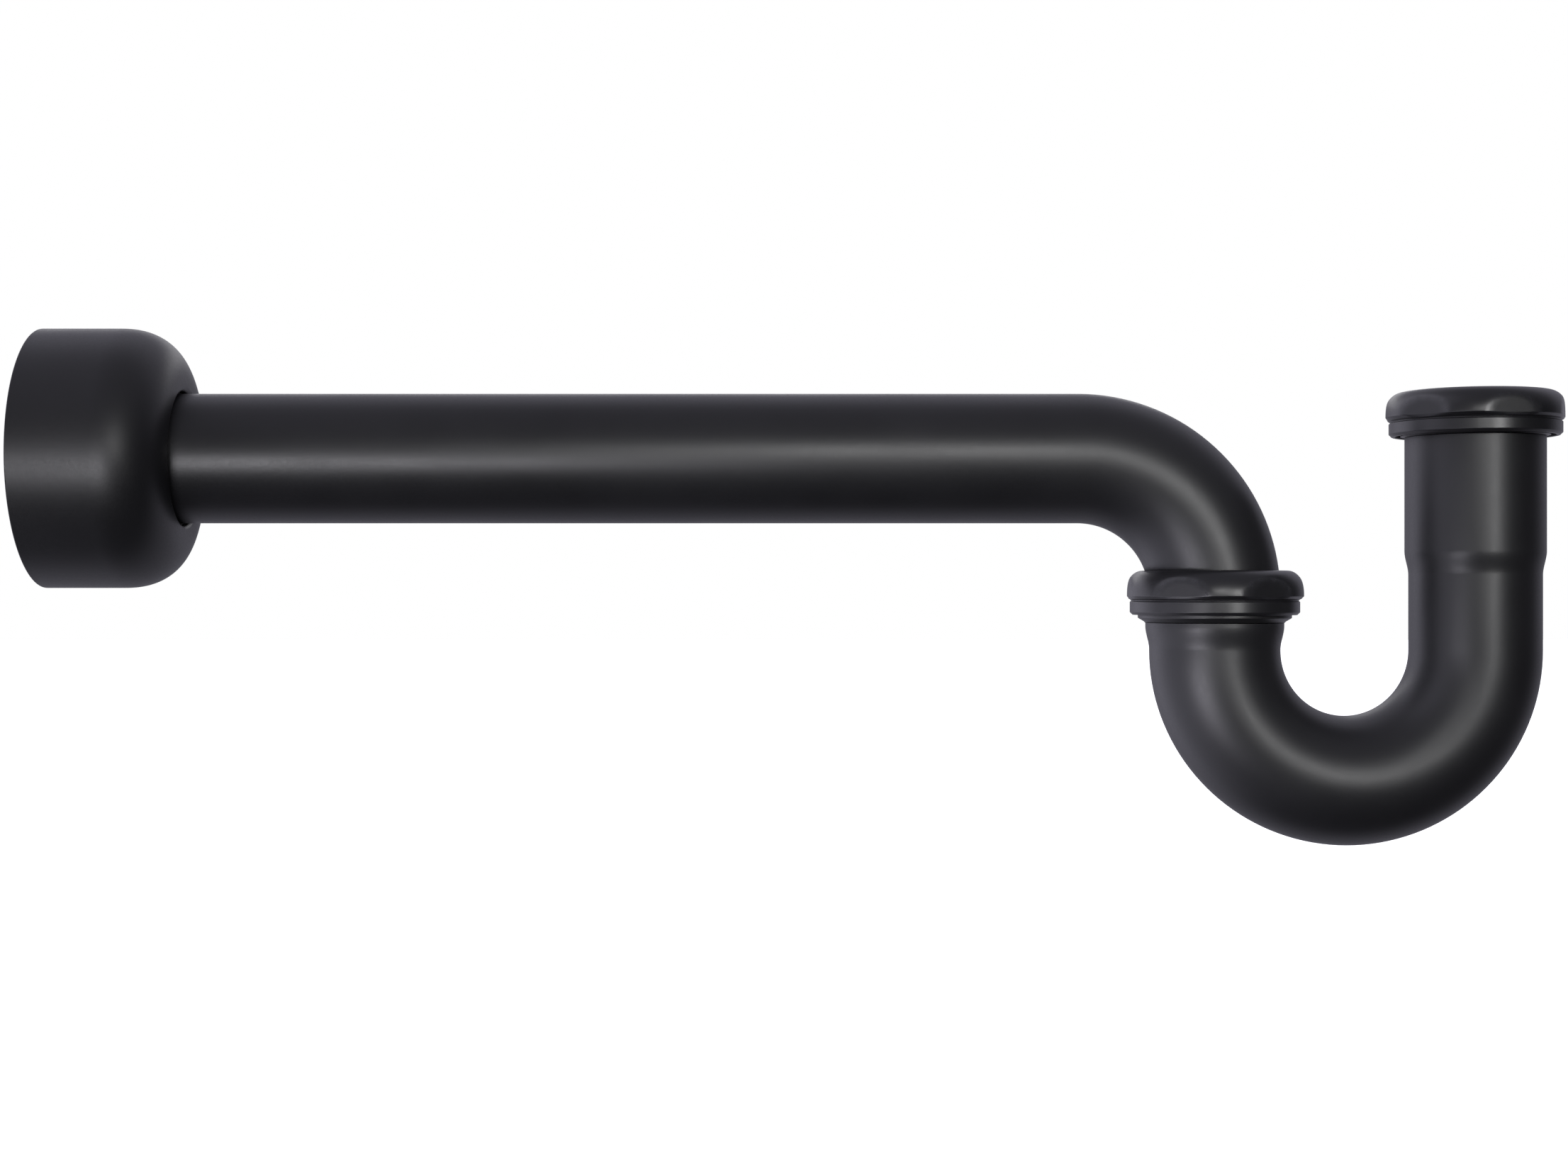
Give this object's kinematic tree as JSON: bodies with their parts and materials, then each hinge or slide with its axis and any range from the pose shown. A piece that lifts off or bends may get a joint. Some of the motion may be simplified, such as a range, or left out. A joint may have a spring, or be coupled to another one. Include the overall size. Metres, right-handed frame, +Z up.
{
  "type": "tubular p-trap",
  "caption": "Matte black tubular sink trap: deep box flange, wall tube with a down bend, slip joint, J-bend and an open slip-joint inlet.",
  "frame": {"origin": "on the wall tube's axis, in the plane of the wall that the flange's rim lies against", "axes": "+X out of the wall along the wall tube, +Z up, so the J-bend hangs towards -Z and its inlet opens towards +Z"},
  "size_m": [0.4471, 0.0762, 0.1519],
  "materials": {
    "arm_black": "satin black coating on brass tube",
    "j_bend_black": "satin black coating on brass tube",
    "flange_black": "matte black coating on spun brass",
    "nut_black": "satin black coating on cast brass",
    "thread_black": "satin black coating on a cut thread",
    "washer_rubber": "soft black rubber",
    "ring_nylon": "natural nylon",
    "o_ring_rubber": "black rubber"
  },
  "bodies": {
    "arm": {"trap_arm": "arm_black"},
    "flange_seal": {"flange_o_ring": "o_ring_rubber"},
    "flange": {"box_flange": "flange_black"},
    "outlet_seal": {"outlet_washer": "washer_rubber", "outlet_friction_ring": "ring_nylon"},
    "outlet_nut": {"outlet_slip_nut": "nut_black"},
    "j_bend": {"j_bend": "j_bend_black", "outlet_thread_collar": "thread_black", "inlet_thread_collar": "thread_black"},
    "inlet_seal": {"inlet_washer": "washer_rubber", "inlet_friction_ring": "ring_nylon"},
    "inlet_nut": {"inlet_slip_nut": "nut_black"}
  },
  "joints": [
    {"name": "flange_slide", "type": "slide", "parent": "arm", "child": "flange_seal", "axis": [1, 0, 0], "range_m": [0, 0.2]},
    {"name": "flange_turn", "type": "hinge", "parent": "flange_seal", "child": "flange", "pos_m": [0.0412, 0, 0], "axis": [1, 0, 0], "continuous": true},
    {"name": "j_bend_swivel", "type": "hinge", "parent": "arm", "child": "outlet_seal", "pos_m": [0.3441, 0, -0.033], "axis": [0, 0, 1], "range_deg": [-140, 140]},
    {"name": "outlet_nut_turn", "type": "hinge", "parent": "outlet_seal", "child": "outlet_nut", "pos_m": [0.3441, 0, -0.033], "axis": [0, 0, 1], "range_deg": [0, 1080]},
    {"name": "j_bend_drop", "type": "slide", "parent": "outlet_seal", "child": "j_bend", "axis": [0, 0, -1], "range_m": [0, 0.00663]},
    {"name": "inlet_nut_lift", "type": "slide", "parent": "j_bend", "child": "inlet_seal", "axis": [0, 0, 1], "range_m": [0, 0.00663]},
    {"name": "inlet_nut_turn", "type": "hinge", "parent": "inlet_seal", "child": "inlet_nut", "pos_m": [0.4209, 0, 0.0196], "axis": [0, 0, 1], "range_deg": [0, 1080]}
  ],
  "couplings": [
    {"joint": "outlet_nut_turn", "follows": "j_bend_drop", "rad_per_m": 2844.7},
    {"joint": "inlet_nut_turn", "follows": "inlet_nut_lift", "rad_per_m": 2844.7}
  ]
}
